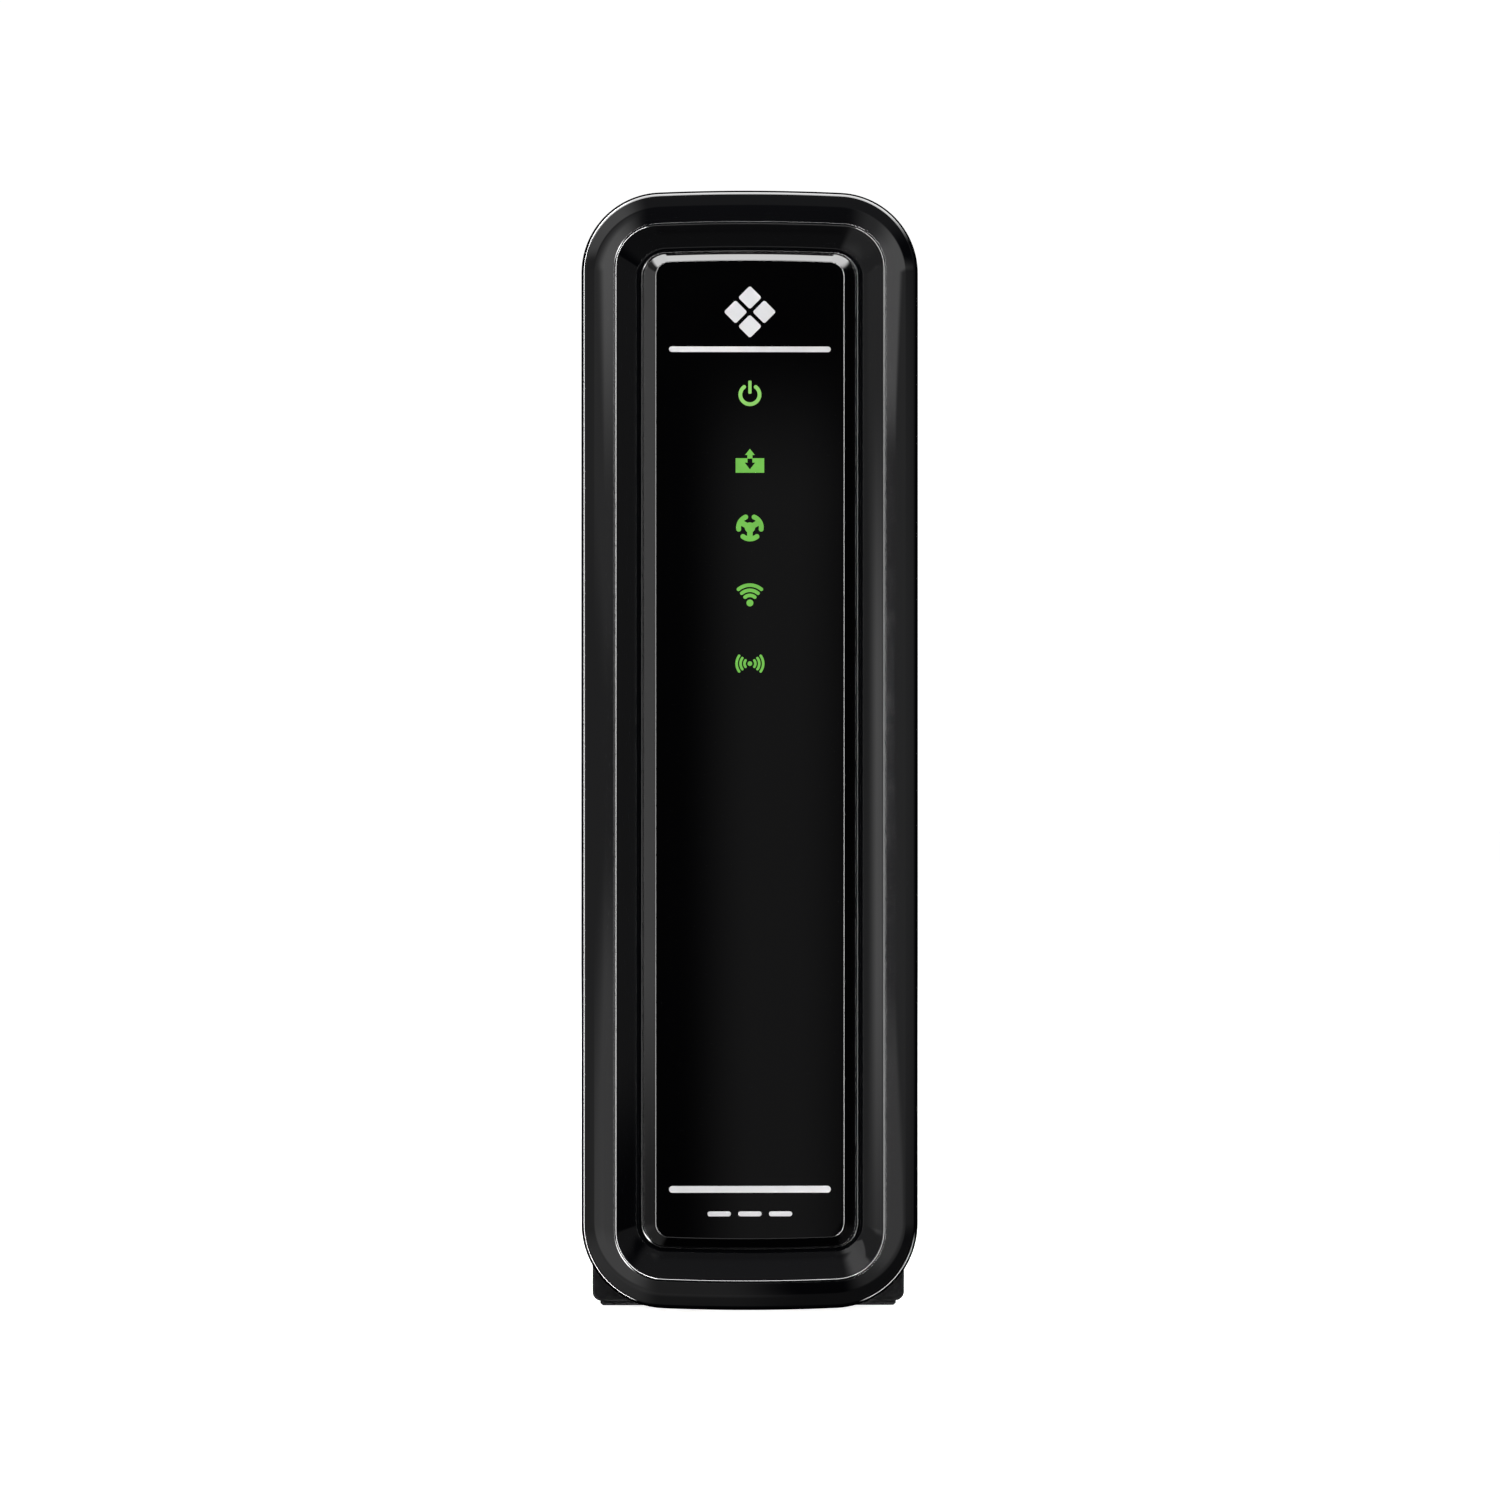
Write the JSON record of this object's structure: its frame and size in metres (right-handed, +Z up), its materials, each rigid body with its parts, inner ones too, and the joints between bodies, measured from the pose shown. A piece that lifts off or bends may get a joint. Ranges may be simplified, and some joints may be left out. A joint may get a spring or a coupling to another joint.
{
  "type": "cable modem",
  "caption": "Upright cable modem with a gloss front frame, lit status icons, vented matte case, coax, network and power ports at the rear, and press buttons.",
  "frame": {"origin": "on the table under the middle of the modem's bounding box, coax port included", "axes": "+Z up, the front with the icons faces -Y, the ports face +Y, +X is to the right seen from the front"},
  "size_m": [0.055, 0.133, 0.1835],
  "materials": {
    "gloss_black": "high-gloss moulded black",
    "lens_black": "gloss black lens",
    "icon_green": "translucent icon, lit green",
    "housing_black": "fine spark texture, matte",
    "panel_black": "fine texture, matte",
    "matte_black": "as moulded",
    "clear_plastic": "clear, polished",
    "rubber_black": "matt",
    "label_film": "blank silver film",
    "screw_steel": "zinc plated",
    "board_green": "green solder mask",
    "chip_black": "moulded package",
    "pad_grey": "soft silicone",
    "heatsink_aluminium": "plain extruded",
    "pin_white": "nylon",
    "shield_steel": "tin plated sheet",
    "capacitor_aluminium": "plain can",
    "inductor_grey": "ferrite grey",
    "led_white": "white package",
    "coax_nickel": "nickel plated",
    "insulator_white": "natural white",
    "contact_gold": "gold flashed",
    "jack_black": "glass-filled nylon",
    "lamp_clear": "clear light pipe",
    "button_grey": "satin",
    "aerial_board": "thin board, dark mask",
    "lead_grey": "thin coaxial lead"
  },
  "bodies": {
    "modem": {"front_bezel": "gloss_black", "front_lens": "lens_black", "status_icons": "icon_green", "light_baffle": "matte_black", "light_guide": "clear_plastic", "left_housing": "housing_black", "right_housing": "housing_black", "rear_panel": "panel_black", "rubber_feet": "rubber_black", "rating_label": "label_film", "housing_screws": "screw_steel", "board_screws": "screw_steel", "main_board": "board_green", "main_chip": "chip_black", "thermal_pad": "pad_grey", "main_heatsink": "heatsink_aluminium", "heatsink_pins": "pin_white", "memory_chips": "chip_black", "wifi_chips": "chip_black", "wifi_shields": "shield_steel", "tuner_shield": "shield_steel", "network_transformers": "chip_black", "crystal_cans": "shield_steel", "capacitors": "capacitor_aluminium", "inductors": "inductor_grey", "status_leds": "led_white", "coax_port": "coax_nickel", "coax_insulator": "insulator_white", "coax_contact": "contact_gold", "ethernet_jack_1": "jack_black", "ethernet_jack_2": "jack_black", "ethernet_shields": "shield_steel", "ethernet_contacts": "contact_gold", "ethernet_lamps": "lamp_clear", "power_jack": "jack_black", "power_jack_pin": "coax_nickel", "power_jack_spring": "contact_gold", "pairing_switch": "jack_black", "reset_switch": "jack_black", "wifi_antennas": "aerial_board", "antenna_leads": "lead_grey", "antenna_plugs": "contact_gold"},
    "pairing_button": {"pairing_button": "button_grey", "pairing_switch_plunger": "button_grey"},
    "reset_plunger": {"reset_plunger": "button_grey"}
  },
  "joints": [
    {"name": "pairing_press", "type": "slide", "parent": "modem", "child": "pairing_button", "axis": [0, -1, 0], "range_m": [0, 0.0005], "stiffness_N_per_m": 1500, "springref_m": -0.001},
    {"name": "reset_press", "type": "slide", "parent": "modem", "child": "reset_plunger", "axis": [0, -1, 0], "range_m": [0, 0.00035], "stiffness_N_per_m": 2500, "springref_m": -0.0006}
  ]
}
